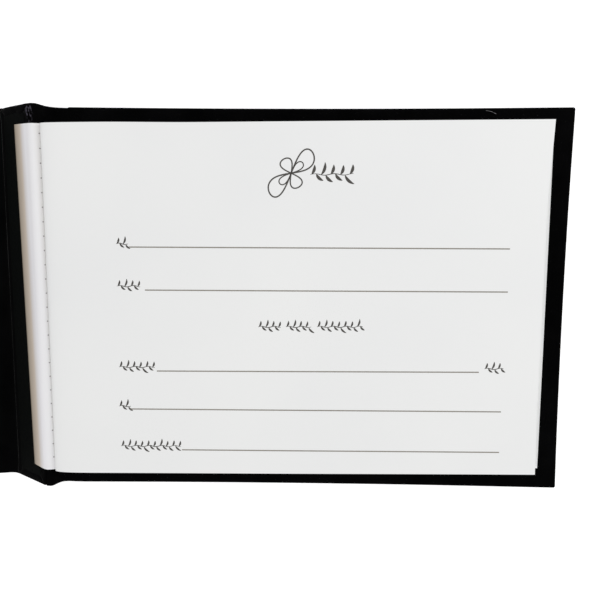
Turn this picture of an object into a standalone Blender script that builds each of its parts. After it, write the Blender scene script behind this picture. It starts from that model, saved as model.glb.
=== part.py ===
"""Wedding guest book, lying open at its title leaf.

A padded, cloth-covered case holds a block of leaves that is side-sewn along its binding edge.
The book lies open on its back: the back cover and the leaves are to the right (+X), the front
cover is to the left (-X), the head of the pages points to +Y, and Z = 0 is the table.
The origin is midway between the two covers, at the middle of their height.

Cross-section, looking along +Y:

        front cover            spine          leaves, then the back cover
    ________________          /\\~~~~~~~~~~~~~~~~~~~~~~~~~~~~~~~~~~~~~~
   |________________|________/  \\__|__________________________________|

The spine strip leans between the table and the ridge at the gutter. It turns about an axis in the
hollow under it, and the front cover turns about the strip's low edge. Together they close the book.
"""

import math

import bmesh
import bpy
from mathutils import Matrix, Vector

# ---------------------------------------------------------------- driving dimensions, in metres
GAP = 0.0003                    # clearance between neighbouring pieces

COVER_LENGTH = 0.2182            # along X, joint edge to fore edge
COVER_HEIGHT = 0.1696           # along Y, head to tail
COVER_THICKNESS = 0.008
COVER_CLOTH = 0.0006
COVER_TURN_IN = 0.012           # cloth folded over onto the inner face
COVER_BOARD = 0.0021
CORNER_ROUNDING = 0.001
OPEN_SPREAD = 0.048             # between the covers' joint edges when the book lies open

RIDGE = Vector((0.009, 0, 0.0148))      # inner edge of the spine strip, up at the gutter
FOOT = Vector((-0.0074, 0, 0.0029))     # its other edge, down at the table
RIDGE_CLOSED = Vector((0.0084, 0, 0.0036))  # where the ridge goes when the book is shut
SPINE_THICKNESS = 0.003
SPINE_CLOTH = 0.00045
SPINE_TURN_IN = 0.004
SPINE_ROUNDING = 0.0006
JOINT_CLOTH = 0.0008            # outer cloth and lining, bonded together in the joint
SHUT_FACE = 0.0197              # height of the shut front cover's inner face

GUTTER_X = 0.014                # stitch valley of the top leaf
PAGE_LENGTH = 0.2144
PAGE_HEIGHT = 0.1524
PAGE_SHIFT = 0.0013             # the leaves sit this much nearer the head than the covers do
MARGIN = 0.0024                 # binding margin, left of the gutter
FOLD_CLEARANCE = 0.0004         # from the fold to the margin on one side and the leaf on the other
SLANT = 0.45                    # sideways lean of the opened block for each unit of height

PACKS = 6                       # bundles of leaves that stay down
PACK_THICKNESS = 0.001
BLOCK_FLOOR = 0.0092
LEAF_THICKNESS = 0.00025
LEAVES = ("leaf_04", "leaf_03", "leaf_02", "title_leaf")    # bottom to top
FOLD_RISE = 0.0006              # a leaf's fold axis above its own middle
GUARD_THICKNESS = 0.0002
GUARD_LAP = 0.0115              # how far the guard strip is pasted down past the ridge

STITCH_PITCH = 0.0062
STITCHES = 24
STITCH_X = -0.0014              # from the gutter
THREAD = 0.0005
THREAD_FLAT = 0.0002            # height of the thread where the feed has pressed it flat
MULL = 0.00035

# ---------------------------------------------------------------- worked out from them
PACK_PITCH = PACK_THICKNESS + GAP
LEAF_PITCH = LEAF_THICKNESS + GAP
LEAF_FLOOR = BLOCK_FLOOR + PACKS * PACK_PITCH
BLOCK_TOP = LEAF_FLOOR + len(LEAVES) * LEAF_PITCH - GAP
SPINE_TILT = math.atan2(RIDGE.z - FOOT.z, RIDGE.x - FOOT.x)
SPINE_TURN = math.pi / 2 + SPINE_TILT       # clockwise turn that stands the strip up
SPINE_WIDTH = (RIDGE - FOOT).length
SHUT_CENTRE = Vector((0, 0, (COVER_THICKNESS + SHUT_FACE) / 2))    # the front cover's half turn


def turned(point, centre, angle):
    """point after a clockwise turn, seen along +Y, about an axis along Y through centre."""
    return centre + Matrix.Rotation(angle, 3, "Y") @ (point - centre)


def turning_centre(start, end, angle):
    """Centre of the clockwise turn about an axis along Y that takes start to end."""
    chord = end - start
    across = Vector((chord.z, 0, -chord.x))
    return (start + end) / 2 + across / (2 * math.tan(angle / 2))


def second_centre(first, angle, whole):
    """Centre of the turn that, made before the given one about first, leaves a half turn about whole."""
    start = Vector((0, 0, 0))
    end = turned(turned(start, whole, math.pi), first, -angle)
    return turning_centre(start, end, math.pi - angle)


SPINE_AXIS = turning_centre(RIDGE, RIDGE_CLOSED, SPINE_TURN)
FRONT_AXIS = second_centre(SPINE_AXIS, SPINE_TURN, SHUT_CENTRE)


# ---------------------------------------------------------------- scene, materials and helpers
def clear_scene():
    for obj in list(bpy.data.objects):
        bpy.data.objects.remove(obj, do_unlink=True)


def collection(name):
    group = bpy.data.collections.new(name)
    bpy.context.scene.collection.children.link(group)
    return group


def material(name, colour, roughness):
    made = bpy.data.materials.new(name)
    made.use_nodes = True
    shader = made.node_tree.nodes["Principled BSDF"]
    shader.inputs["Base Color"].default_value = (*colour, 1)
    shader.inputs["Roughness"].default_value = roughness
    shader.inputs["Metallic"].default_value = 0
    return made


clear_scene()
PARTS = collection("wedding_guest_book")
CUTTERS = collection("cutters")
CLOTH = material("black_cloth", (0.006, 0.006, 0.007), 0.85)
LINING = material("black_lining", (0.012, 0.013, 0.013), 0.75)
BOARD = material("grey_board", (0.30, 0.27, 0.23), 0.9)
FOAM = material("white_foam", (0.80, 0.79, 0.76), 0.95)
PAPER = material("white_paper", (0.82, 0.81, 0.79), 0.8)
LINEN = material("binding_linen", (0.75, 0.72, 0.66), 0.9)
THREAD_WHITE = material("white_thread", (0.86, 0.85, 0.82), 0.8)


def place(obj, parent=None):
    """Hangs an object that is already where it belongs from an empty that isn't turned."""
    if parent:
        obj.parent = parent
        obj.location -= world_place(parent)
    return obj


def world_place(obj):
    """Where an empty is, through the empties above it."""
    here = Vector(obj.location)
    while obj.parent:
        obj = obj.parent
        here += obj.location
    return here


def axis_empty(name, centre, parent=None):
    """An empty on a joint's axis, for the pieces that turn about it."""
    empty = bpy.data.objects.new(name, None)
    empty.empty_display_size = 0.01
    empty.location = centre
    PARTS.objects.link(empty)
    return place(empty, parent)


def link(name, mesh, look, group=None):
    obj = bpy.data.objects.new(name, mesh)
    (group or PARTS).objects.link(obj)
    if look:
        mesh.materials.append(look)
    return obj


def add_box(mesh, low, high):
    """Adds a box between two corners to a bmesh."""
    size = high - low
    put = Matrix.Translation((low + high) / 2) @ Matrix.Diagonal((*size, 1))
    return bmesh.ops.create_cube(mesh, size=1, matrix=put)["verts"]


def boxes(name, corners, look, group=None, slanted=False):
    """One object of boxes, each given as (low, high); slanted ones lean with the block."""
    mesh = bmesh.new()
    for low, high in corners:
        add_box(mesh, Vector(low), Vector(high))
    if slanted:
        for vert in mesh.verts:
            vert.co.x += (BLOCK_TOP - vert.co.z) * SLANT
    data = bpy.data.meshes.new(name)
    mesh.to_mesh(data)
    mesh.free()
    return link(name, data, look, group)


def cutter(name, corners, slanted=False):
    obj = boxes(name, corners, None, CUTTERS, slanted)
    obj.hide_render = True
    obj.display_type = "WIRE"
    return obj


def boolean(obj, other, operation="DIFFERENCE"):
    step = obj.modifiers.new(operation.title(), "BOOLEAN")
    step.operation = operation
    step.solver = "EXACT"
    step.object = other


def bevel(obj, width, segments):
    step = obj.modifiers.new("Bevel", "BEVEL")
    step.width = width
    step.segments = segments
    step.limit_method = "ANGLE"


def smooth_path(points, steps=4):
    """A Catmull-Rom curve through the points, with a number of steps to each stretch."""
    ends = [2 * points[0] - points[1], *points, 2 * points[-1] - points[-2]]
    path = []
    for a, b, c, d in zip(ends, ends[1:], ends[2:], ends[3:]):
        for n in range(steps):
            t = n / steps
            path.append(
                0.5 * (2 * b + (c - a) * t + (2 * a - 5 * b + 4 * c - d) * t ** 2
                       + (3 * b - a - 3 * c + d) * t ** 3)
            )
    return [*path, points[-1]]


def ribbon(name, path, low_y, high_y, thickness, look):
    """A strip of sheet that follows a path in the XZ plane and runs along Y."""
    mesh = bmesh.new()
    rows = [
        [mesh.verts.new((point.x, y, point.z)) for y in (low_y, high_y)] for point in path
    ]
    for (a, b), (c, d) in zip(rows, rows[1:]):
        mesh.faces.new((a, b, d, c))
    data = bpy.data.meshes.new(name)
    mesh.to_mesh(data)
    mesh.free()
    obj = link(name, data, look)
    shell = obj.modifiers.new("Solidify", "SOLIDIFY")
    shell.thickness = thickness
    shell.offset = 0
    shell.use_even_offset = True
    return obj


# ---------------------------------------------------------------- covers and spine
def slab(name, size, inset, low, high, look):
    """A flat layer of a wrapped panel, between two heights, inset from the panel's outline."""
    x, y = size[0] / 2 - inset, size[1] / 2 - inset
    return boxes(name, [((-x, -y, low), (x, y, high))], look)


def cloth_wrap(name, size, cloth, turn_in, rounding):
    """The cloth around a panel: one skin under it, up its edges and folded onto its inner face."""
    thickness = size[2]
    wrap = slab(name, size, 0, 0, thickness, CLOTH)
    bevel(wrap, rounding, 2)
    x, y = size[0] / 2 - cloth, size[1] / 2 - cloth
    hollow = ((-x, -y, cloth), (x, y, thickness - cloth))
    boolean(wrap, cutter(name + "_hollow", [hollow]))
    x, y = size[0] / 2 - turn_in, size[1] / 2 - turn_in
    mouth = ((-x, -y, thickness / 2), (x, y, thickness * 2))
    boolean(wrap, cutter(name + "_mouth", [mouth]))
    return wrap


def wrapped_panel(prefix, size, cloth, turn_in, rounding, board, padded):
    """The pieces of a cloth-covered panel. Its outer face is at Z = 0 and its inner face on top."""
    top = size[2] - cloth - GAP
    inset = cloth + GAP
    pieces = [
        cloth_wrap(prefix + "_cloth", size, cloth, turn_in, rounding),
        slab(prefix + "_board", size, inset, top - board, top, BOARD),
        slab(prefix + "_lining", size, turn_in + GAP, size[2] - cloth, size[2], LINING),
    ]
    if padded:
        pieces.append(slab(prefix + "_padding", size, inset, cloth + GAP, top - board - GAP, FOAM))
    return pieces


def stand_cutters(pieces, location, tilt=0.0, parent=None):
    """Puts a panel's pieces, and the cutters of their booleans, in place."""
    cutters = [m.object for p in pieces for m in p.modifiers if m.type == "BOOLEAN"]
    for obj in pieces + cutters:
        obj.location = location
        obj.rotation_euler.y = tilt
        place(obj, parent)


def make_cover(prefix, side, parent=None):
    """A padded cover lying flat: side is 1 for the back cover and -1 for the front one."""
    size = (COVER_LENGTH, COVER_HEIGHT, COVER_THICKNESS)
    pieces = wrapped_panel(
        prefix, size, COVER_CLOTH, COVER_TURN_IN, CORNER_ROUNDING, COVER_BOARD, padded=True
    )
    middle = side * (OPEN_SPREAD + COVER_LENGTH) / 2
    stand_cutters(pieces, Vector((middle, 0, 0)), parent=parent)


def spine_direction():
    """Unit vectors of the open spine strip: up it to the ridge, and out of its inner face."""
    up = (RIDGE - FOOT).normalized()
    return up, Vector((-up.z, 0, up.x))


def make_spine(parent):
    """The leaning spine strip, a thin wrapped panel with no padding."""
    size = (SPINE_WIDTH, COVER_HEIGHT, SPINE_THICKNESS)
    board = SPINE_THICKNESS - 2 * (SPINE_CLOTH + GAP)
    pieces = wrapped_panel(
        "spine", size, SPINE_CLOTH, SPINE_TURN_IN, SPINE_ROUNDING, board, padded=False
    )
    inward = spine_direction()[1]
    location = (RIDGE + FOOT) / 2 - inward * SPINE_THICKNESS
    stand_cutters(pieces, location, -SPINE_TILT, parent)


def make_joints(parent):
    """The two cloth joints that let the spine strip turn against the covers."""
    up, inward = spine_direction()
    half = COVER_HEIGHT / 2
    clear = GAP + JOINT_CLOTH / 2
    edge = OPEN_SPREAD / 2 - GAP
    beside = up * (clear + GAP / 2)
    back = [
        Vector((edge, 0, COVER_THICKNESS - JOINT_CLOTH)),
        Vector((GUTTER_X + 0.004, 0, COVER_THICKNESS - JOINT_CLOTH)),
        Vector((GUTTER_X + 0.0002, 0, 0.0083)),
        Vector((GUTTER_X - 0.0018, 0, 0.0104)),
        RIDGE - inward * SPINE_THICKNESS + beside,
        RIDGE - inward * SPINE_THICKNESS * 0.35 + beside,
    ]
    front = [
        FOOT - inward * SPINE_THICKNESS * 0.35 - beside,
        Vector((FOOT.x - 0.0026, 0, clear)),
        Vector((-edge + 0.0055, 0, clear)),
        Vector((-edge + 0.0018, 0, COVER_THICKNESS * 0.4)),
        Vector((-edge + 0.0005, 0, COVER_THICKNESS - JOINT_CLOTH)),
    ]
    ribbon("back_joint_cloth", smooth_path(back), -half, half, JOINT_CLOTH, CLOTH)
    place(ribbon("front_joint_cloth", smooth_path(front), -half, half, JOINT_CLOTH, CLOTH), parent)


# ---------------------------------------------------------------- the sewn block
def page_band(x_low, x_high, low, high):
    """Corners of a layer of the block, with X measured from the gutter."""
    half = PAGE_HEIGHT / 2
    return (
        (GUTTER_X + x_low, PAGE_SHIFT - half, low),
        (GUTTER_X + x_high, PAGE_SHIFT + half, high),
    )


def stitch_posts(side, low, high):
    """Corners of one square post at each stitch hole."""
    x = GUTTER_X + STITCH_X
    posts = []
    for n in range(STITCHES):
        y = PAGE_SHIFT + (n - (STITCHES - 1) / 2) * STITCH_PITCH
        posts.append(((x - side / 2, y - side / 2, low), (x + side / 2, y + side / 2, high)))
    return posts


def leaf_heights():
    """Name, underside and top of each turning leaf."""
    for n, name in enumerate(LEAVES):
        low = LEAF_FLOOR + n * LEAF_PITCH
        yield name, low, low + LEAF_THICKNESS


def fold_axis(low, high):
    """Where a leaf folds: over the gutter line, a little above its own middle."""
    middle = (low + high) / 2
    return Vector((GUTTER_X + (BLOCK_TOP - middle) * SLANT, 0, middle + FOLD_RISE))


def make_packs(holes):
    """The bundles of leaves that stay down, pierced for the stitching."""
    for n in range(PACKS):
        low = BLOCK_FLOOR + n * PACK_PITCH
        pack = boxes(
            f"leaf_pack_{n + 1:02d}",
            [page_band(-MARGIN, PAGE_LENGTH, low, low + PACK_THICKNESS)],
            PAPER,
            slanted=True,
        )
        boolean(pack, holes)


def make_leaves(holes):
    """The turning leaves, each hung from the one below it, and their sewn-down margins."""
    parent = None
    for name, low, high in leaf_heights():
        parent = axis_empty(name + "_axis", fold_axis(low, high), parent)
        leaf = boxes(
            name, [page_band(FOLD_CLEARANCE, PAGE_LENGTH, low, high)], PAPER, slanted=True
        )
        place(leaf, parent)
        sewn = page_band(-MARGIN, -FOLD_CLEARANCE, low, high)
        boolean(boxes(name + "_margin", [sewn], PAPER, slanted=True), holes)


def guard_path():
    """Middle of the guard strip: off the margins, past the mull, down the spine's lining."""
    up, inward = spine_direction()
    lift = inward * (GAP + GUARD_THICKNESS)
    height = BLOCK_TOP + GAP + GUARD_THICKNESS / 2
    mull_left = GUTTER_X - MARGIN - GAP - MULL
    margins = [Vector((GUTTER_X - FOLD_CLEARANCE, 0, height)), Vector((mull_left, 0, height))]
    beside = Vector((mull_left - GAP - GUARD_THICKNESS, 0, BLOCK_TOP - GAP))
    crest = RIDGE + lift * 2 + up * GAP
    slope = [RIDGE + lift - up * d for d in (0.002, 0.006, GUARD_LAP)]
    return margins[:1] + smooth_path([margins[1], beside, crest, *slope])


def make_guard(holes):
    half = PAGE_HEIGHT / 2
    guard = ribbon(
        "front_guard", guard_path(), PAGE_SHIFT - half, PAGE_SHIFT + half, GUARD_THICKNESS, PAPER
    )
    boolean(guard, holes)


def make_thread():
    """Needle thread: a line along the top with a leg down each hole. Bobbin thread: a line below."""
    line_low = BLOCK_TOP + 2 * GAP + GUARD_THICKNESS
    reach = (STITCHES - 1) / 2 * STITCH_PITCH + THREAD / 2
    low_x, high_x = GUTTER_X + STITCH_X - THREAD / 2, GUTTER_X + STITCH_X + THREAD / 2
    low_y, high_y = PAGE_SHIFT - reach, PAGE_SHIFT + reach
    line = ((low_x, low_y, line_low), (high_x, high_y, line_low + THREAD_FLAT))
    needle = boxes("needle_thread", [line], THREAD_WHITE, slanted=True)
    legs = stitch_posts(THREAD, BLOCK_FLOOR, line_low + THREAD_FLAT / 2)
    boolean(needle, cutter("thread_legs", legs, slanted=True), "UNION")
    bobbin_top = BLOCK_FLOOR - GAP
    bobbin = ((low_x, low_y, bobbin_top - THREAD_FLAT), (high_x, high_y, bobbin_top))
    boxes("bobbin_thread", [bobbin], THREAD_WHITE, slanted=True)


def make_binding():
    """The mull glued up the binding edge, and the sheet that pastes the block to the back cover."""
    left = -MARGIN - GAP
    boxes(
        "binding_mull",
        [page_band(left - MULL, left, BLOCK_FLOOR, BLOCK_TOP)],
        LINEN,
        slanted=True,
    )
    low = COVER_THICKNESS + GAP
    boxes(
        "back_endpaper",
        [page_band(STITCH_X + THREAD + 3 * GAP, PAGE_LENGTH, low, low + LEAF_THICKNESS)],
        PAPER,
        slanted=True,
    )


def make_block():
    hole = THREAD + 2 * GAP
    holes = cutter("stitch_holes", stitch_posts(hole, 0, 2 * BLOCK_TOP), slanted=True)
    make_packs(holes)
    make_leaves(holes)
    make_guard(holes)
    make_thread()
    make_binding()


def main():
    make_cover("back_cover", 1)
    spine_axis = axis_empty("spine_axis", SPINE_AXIS)
    make_spine(spine_axis)
    front_axis = axis_empty("front_cover_axis", FRONT_AXIS, spine_axis)
    make_cover("front_cover", -1, front_axis)
    make_joints(spine_axis)
    make_block()


main()
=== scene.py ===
"""Looks of the wedding guest book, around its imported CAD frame.

The book lies open at its title leaf: X runs from gutter to fore edge, Y to the head, Z up, in metres.
The cloth case is made of panels swept round a rounded rectangle, the block of single thin leaves
that the stitching pinches at the gutter, and the print of flat strokes laid on the title leaf.
"""

import math
import random

import bmesh
import bpy
import numpy as np
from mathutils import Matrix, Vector, noise


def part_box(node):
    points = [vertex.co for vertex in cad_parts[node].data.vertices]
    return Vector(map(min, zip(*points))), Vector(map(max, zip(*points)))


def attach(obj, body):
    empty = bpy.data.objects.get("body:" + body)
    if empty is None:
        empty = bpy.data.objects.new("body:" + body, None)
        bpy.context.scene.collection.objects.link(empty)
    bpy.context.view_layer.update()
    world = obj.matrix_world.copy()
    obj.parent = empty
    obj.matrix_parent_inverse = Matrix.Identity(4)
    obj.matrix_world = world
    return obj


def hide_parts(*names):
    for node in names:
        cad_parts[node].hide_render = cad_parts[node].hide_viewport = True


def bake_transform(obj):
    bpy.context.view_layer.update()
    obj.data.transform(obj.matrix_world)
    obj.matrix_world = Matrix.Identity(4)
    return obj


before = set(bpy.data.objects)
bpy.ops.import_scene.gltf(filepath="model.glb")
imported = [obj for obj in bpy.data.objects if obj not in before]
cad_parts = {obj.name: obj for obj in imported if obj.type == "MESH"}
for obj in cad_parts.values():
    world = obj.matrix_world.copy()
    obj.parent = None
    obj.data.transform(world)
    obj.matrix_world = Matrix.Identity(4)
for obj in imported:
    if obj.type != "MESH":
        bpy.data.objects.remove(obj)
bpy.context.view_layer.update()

MM = 0.001

# ---------------- places, from the frame
COVER_LOW, COVER_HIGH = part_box("back_cover_cloth")
FRONT_LOW, FRONT_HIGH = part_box("front_cover_cloth")
PAGE_LOW, PAGE_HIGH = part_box("title_leaf")
BOBBIN_LOW, BOBBIN_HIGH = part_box("bobbin_thread")

PAGE_TOP = PAGE_HIGH.z
PAGE_MIDDLE = (PAGE_LOW.y + PAGE_HIGH.y) / 2
FORE_EDGE = PAGE_HIGH.x
BLOCK_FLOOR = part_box("leaf_pack_01")[0].z
PACKS_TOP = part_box("leaf_pack_06")[1].z
COVER_FACE = COVER_HIGH.z               # the inner face of the back cover

# ---------------- sizes of the soft shapes
COVER_CLOTH = 0.6 * MM
BOARD_EDGE = 1.5 * MM                   # rounding of the rim over the hard board
PADDED_EDGE = 4.8 * MM                  # rounding of the rim over the padding
CORNER = 0.9 * MM                       # rounding of a cover's corner, seen from above
TURN_IN = 12.6 * MM                     # cloth folded onto the inner face
CROWN = 0.9 * MM                        # how far the outer face falls away towards the rim

RIDGE = Vector((10.3, 0, 15.1)) * MM    # the spine strip's inner edge
FOOT = Vector((-7.4, 0, 2.9)) * MM      # and its outer one, low down
SPINE_UP = (RIDGE - FOOT).normalized()
SPINE_IN = Vector((-SPINE_UP.z, 0, SPINE_UP.x))
SPINE_THICKNESS = 3 * MM
SPINE_HALF = 84.45 * MM                 # half its length along Y
SPINE_TAPER = 0.011                     # share of it by which the ridge is longer than the foot
SPINE_SHIFT = 0.85 * MM                 # the strip lies this much nearer the head than the covers
PULL_SIDE = 0.9 * MM                    # how far the fore edge of a cover bows in, mid-height
PULL_END = 0.65 * MM                    # and its head and tail
CREASES_AT = Vector((10.4, 81.5, 15.0)) * MM   # middle of the painted crease highlight over the head of the ridge

CREASE = 14.85 * MM                     # where the title leaf rises out of the gutter
STITCH = 14.5 * MM                      # the line of stitches
STITCH_COUNT = 24
STITCH_PITCH = 6.215 * MM
STITCH_SHIFT = 1.0 * MM                 # the row of stitches lies this much nearer the head
MARGIN = 1.3 * MM                       # from the crease to the binding edge
SLANT = 0.45                            # sideways lean of the opened block at the stitches
FORE_REACH = 3.7 * MM                   # how far the lowest leaf reaches past the title leaf
SKEW = 1.86 / 213                       # the block sits slightly askew, its fore edge nearer the head
LEAVES_A_PACK = 9
PACK_COUNT = 6
PAPER = 0.1 * MM
TURNING_PAPER = 0.13 * MM               # the leaves that turn
TURN_START, TURN_END = 0.3 * MM, 5 * MM  # two distances from a leaf's crease; the points worked out from them are not used

GUARD_EDGE = 2.95 * MM                  # X of the guard strip's pasted edge, mid-height
GUARD_LEAN = 0.0165                     # how fast that edge runs out of true along Y
GUARD_TINT_AND_SHADE_REACH = 12 * MM                   # how far in from that edge the paste tint and painted shade run
GUARD_THICKNESS = 0.18 * MM

RULE_WIDTH = 0.52 * MM
INK_THICKNESS = 0.02 * MM
INK_LIFT = 0.015 * MM                   # gap between page and ink

random.seed(7)


def askew(x):
    """How much nearer the head the block sits at X than at its middle."""
    return SKEW * (x - (CREASE + FORE_EDGE) / 2)


def stitch_ys():
    """Y of every needle hole, from the tail."""
    first = PAGE_MIDDLE + askew(CREASE) - (STITCH_COUNT - 1) / 2 * STITCH_PITCH + STITCH_SHIFT
    return [first + n * STITCH_PITCH for n in range(STITCH_COUNT)]


# ---------------- materials
def new_material(name, colour, roughness, specular=0.3):
    """A Principled material and its nodes, links and shader."""
    made = bpy.data.materials.new(name)
    made.use_nodes = True
    nodes, links = made.node_tree.nodes, made.node_tree.links
    shader = nodes["Principled BSDF"]
    shader.inputs["Base Color"].default_value = (*colour, 1)
    shader.inputs["Roughness"].default_value = roughness
    shader.inputs["Specular IOR Level"].default_value = specular
    return made, nodes, links, shader


def noise_texture(nodes, links, scale, detail=4, stretch=(1, 1, 1)):
    """A noise in object coordinates, with features 1 / scale metres apart."""
    coordinates = nodes.new("ShaderNodeTexCoord")
    mapping = nodes.new("ShaderNodeMapping")
    mapping.inputs["Scale"].default_value = stretch
    texture = nodes.new("ShaderNodeTexNoise")
    texture.inputs["Scale"].default_value = scale
    texture.inputs["Detail"].default_value = detail
    links.new(coordinates.outputs["Object"], mapping.inputs["Vector"])
    links.new(mapping.outputs["Vector"], texture.inputs["Vector"])
    return texture


def ramp(nodes, links, source, *stops):
    """A colour ramp over a value: stops are (position, colour)."""
    made = nodes.new("ShaderNodeValToRGB")
    elements = made.color_ramp.elements
    while len(elements) < len(stops):
        elements.new(0.5)
    for element, (position, colour) in zip(elements, stops):
        element.position = position
        element.color = (*colour, 1)
    links.new(source, made.inputs["Fac"])
    return made


def feed(links, source, target):
    """Links a socket into another, or sets that one where the source is a plain value."""
    if isinstance(source, bpy.types.NodeSocket):
        links.new(source, target)
    else:
        target.default_value = source


def operate(nodes, links, operation, *sources, vectors=False):
    """The output of a math node over its sources, each a socket or a value."""
    made = nodes.new("ShaderNodeVectorMath" if vectors else "ShaderNodeMath")
    made.operation = operation
    for source, target in zip(sources, made.inputs):
        feed(links, source, target)
    return made.outputs["Vector" if vectors and operation != "LENGTH" else "Value"]


def map_range(nodes, links, source, low, high):
    """0 where a value is low or beyond, 1 where it is high, and between them in between."""
    made = nodes.new("ShaderNodeMapRange")
    made.inputs["From Min"].default_value = low
    made.inputs["From Max"].default_value = high
    links.new(source, made.inputs["Value"])
    return made.outputs["Result"]


def mix_colours(nodes, links, factor, a, b, blend_type="MIX"):
    """Colour a where the factor is 0 and b, or the blend of both, where it is 1."""
    made = nodes.new("ShaderNodeMix")
    made.data_type = "RGBA"
    made.blend_type = blend_type
    for name, source in (("Factor", factor), ("A", a), ("B", b)):
        feed(links, source, made.inputs[name])
    return made.outputs["Result"]


def add_bump(nodes, links, shader, height, distance, strength=0.5):
    """Lets a height value shape the shader's normals."""
    bump = nodes.new("ShaderNodeBump")
    bump.inputs["Strength"].default_value = strength
    bump.inputs["Distance"].default_value = distance
    links.new(height, bump.inputs["Height"])
    links.new(bump.outputs["Normal"], shader.inputs["Normal"])


def cloth_material():
    """Black velvety cover cloth: short nap, slightly patchy, with a soft sheen."""
    made, nodes, links, shader = new_material("black_velvet", (0.0012, 0.0012, 0.0013), 0.95, 0.02)
    shader.inputs["Sheen Weight"].default_value = 0.15
    shader.inputs["Sheen Roughness"].default_value = 0.25
    patches = noise_texture(nodes, links, 60, 3)
    shades = ramp(
        nodes, links, patches.outputs["Fac"], (0.35, (0.0006, 0.0006, 0.0007)), (0.7, (0.0018, 0.0018, 0.002))
    )
    links.new(shades.outputs["Color"], shader.inputs["Base Color"])
    nap = noise_texture(nodes, links, 2600, 2, (1, 0.6, 1))
    add_bump(nodes, links, shader, nap.outputs["Fac"], 0.15 * MM, 0.6)
    return made


def crinkled_cloth_material():
    """The same cloth where it is creased over the head of the ridge, with a pale painted highlight along the
    creases.
    """
    made = cloth_material()
    made.name = "black_velvet_creased"
    nodes, links = made.node_tree.nodes, made.node_tree.links
    shader = nodes["Principled BSDF"]
    plain = shader.inputs["Base Color"].links[0].from_socket
    place = nodes.new("ShaderNodeTexCoord").outputs["Object"]
    offset = operate(nodes, links, "SUBTRACT", place, CREASES_AT, vectors=True)
    stretched = operate(nodes, links, "MULTIPLY", offset, (1.9, 0.8, 0.6), vectors=True)
    reach = operate(nodes, links, "LENGTH", stretched, vectors=True)
    near = map_range(nodes, links, reach, 3.6 * MM, 1.2 * MM)
    creases = noise_texture(nodes, links, 900, 3, (1.3, 0.55, 1))
    # pale colour on the crease ridges near CREASES_AT: a painted highlight, not wear
    crease_highlight = map_range(nodes, links, creases.outputs["Fac"], 0.5, 0.68)
    share = operate(nodes, links, "MULTIPLY", near, crease_highlight)
    highlighted_cloth = mix_colours(nodes, links, share, plain, (0.16, 0.15, 0.19, 1))
    links.new(highlighted_cloth, shader.inputs["Base Color"])
    return made


def lining_material():
    """Black lining paper of the inner faces, plainer and a touch lighter than the cloth."""
    made, nodes, links, shader = new_material("black_lining", (0.0015, 0.0018, 0.0017), 0.85, 0.035)
    grain = noise_texture(nodes, links, 900, 4)
    shades = ramp(
        nodes, links, grain.outputs["Fac"], (0.3, (0.0010, 0.0013, 0.0012)), (0.75, (0.0022, 0.0027, 0.0025))
    )
    links.new(shades.outputs["Color"], shader.inputs["Base Color"])
    add_bump(nodes, links, shader, grain.outputs["Fac"], 0.05 * MM, 0.4)
    return made


def paper_nodes(name, light, dark):
    """White book paper: very faint clouds in the stock and a fine tooth."""
    made, nodes, links, shader = new_material(name, light, 0.55, 0.35)
    clouds = noise_texture(nodes, links, 14, 5)
    shades = ramp(nodes, links, clouds.outputs["Fac"], (0.3, dark), (0.7, light))
    links.new(shades.outputs["Color"], shader.inputs["Base Color"])
    tooth = noise_texture(nodes, links, 1800, 3)
    add_bump(nodes, links, shader, tooth.outputs["Fac"], 0.02 * MM, 0.25)
    return made, nodes, links, shader, shades


def paper_material():
    """The paper of the leaves."""
    return paper_nodes("white_paper", (0.805, 0.808, 0.804), (0.78, 0.784, 0.785))[0]


def guard_material():
    """The guard strip's paper: a tan paste tint at its pasted edge, painted shade darkening it towards that
    edge and a little towards the gutter, and needle holes painted dark as painted shade.
    """
    made, nodes, links, shader, shades = paper_nodes(
        "guard_paper", (0.79, 0.785, 0.795), (0.77, 0.765, 0.78)
    )
    split = nodes.new("ShaderNodeSeparateXYZ")
    links.new(nodes.new("ShaderNodeTexCoord").outputs["Object"], split.inputs["Vector"])
    x, y = split.outputs["X"], split.outputs["Y"]
    leaning = operate(nodes, links, "MULTIPLY_ADD", y, GUARD_LEAN, x)
    # tan paste tint at the pasted edge, partly real; its darkening towards that edge and at the gutter end is
    # painted shade
    paste_tint_and_shade = ramp(
        nodes,
        links,
        map_range(nodes, links, leaning, GUARD_EDGE, GUARD_EDGE + GUARD_TINT_AND_SHADE_REACH),
        (0.0, (0.24, 0.20, 0.15)),
        (0.05, (0.45, 0.38, 0.30)),
        (0.26, (0.68, 0.59, 0.49)),
        (0.37, (0.84, 0.81, 0.79)),
        (0.5, (0.98, 0.975, 0.99)),
        (0.85, (1.0, 1.0, 1.0)),
        (1.0, (0.93, 0.92, 0.90)),
    )
    tinted_and_shaded = mix_colours(nodes, links, 1, shades.outputs["Color"], paste_tint_and_shade.outputs["Color"], "MULTIPLY")
    # the needle holes painted dark: painted shade in the holes
    hole_shaded = mix_colours(nodes, links, needle_holes(nodes, links, x, y), (0.24, 0.235, 0.23, 1), tinted_and_shaded)
    links.new(hole_shaded, shader.inputs["Base Color"])
    return made


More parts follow.
